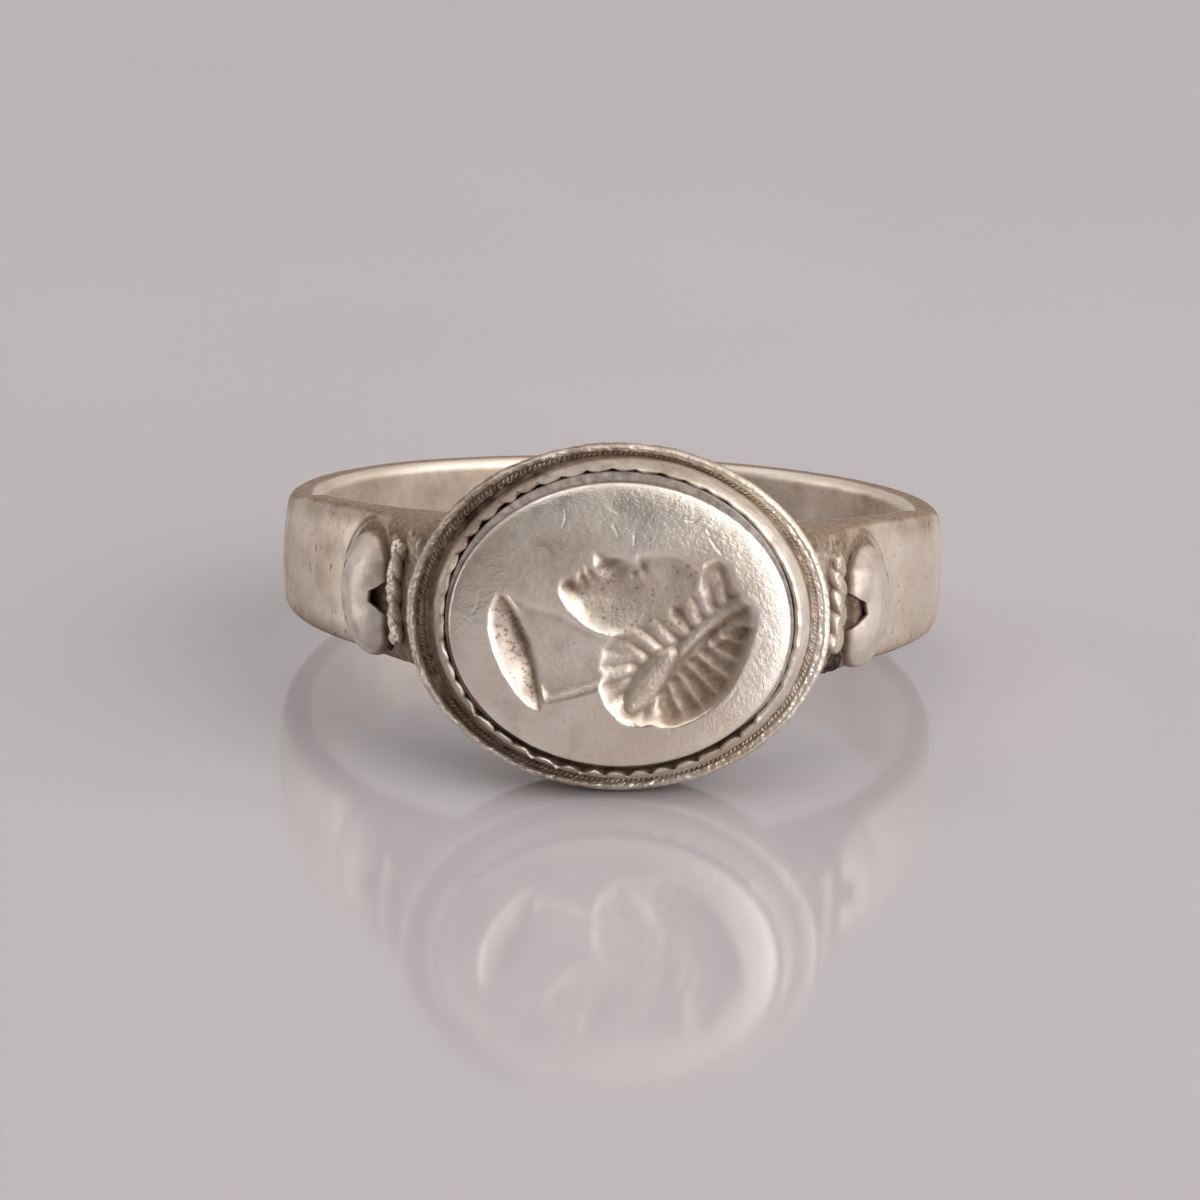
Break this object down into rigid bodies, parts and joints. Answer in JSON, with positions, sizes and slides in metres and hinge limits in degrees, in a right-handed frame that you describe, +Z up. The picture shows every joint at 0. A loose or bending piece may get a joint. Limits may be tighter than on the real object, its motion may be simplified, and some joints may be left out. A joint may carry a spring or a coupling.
{
  "type": "signet ring",
  "caption": "Silver signet ring: oval box bezel with a scalloped collar round an engraved seal plate, half-dome bosses and twisted wires on a widening band.",
  "frame": {"origin": "centre of the ring's box at its base, on the surface that it lies on", "axes": "+Z up from the surface that the ring lies on, -Y towards the bezel's face, +X to the right of someone who looks at the bezel"},
  "size_m": [0.0204, 0.024, 0.0104],
  "materials": {
    "band_silver": "old warm silver, worn satin with fine scratches and brown patina in its corners",
    "bezel_silver": "old silver, bright on its worn ridges and dark brown in its grooves",
    "seal_silver": "old silver worn smooth and bright, with scratches, and brown in the engraving",
    "boss_silver": "old silver worn smooth and bright",
    "wire_silver": "old silver, bright strands with dark gaps",
    "cement": "dark brown setting cement"
  },
  "bodies": {
    "root": {"hoop": "band_silver", "bezel_back_plate": "bezel_silver", "bezel_side_wall": "bezel_silver", "bezel_frame": "bezel_silver", "border_wire": "wire_silver", "serrated_collar": "bezel_silver", "seal_bedding": "cement", "seal_plate": "seal_silver", "left_boss": "boss_silver", "right_boss": "boss_silver", "left_rope": "wire_silver", "right_rope": "wire_silver"}
  },
  "joints": []
}
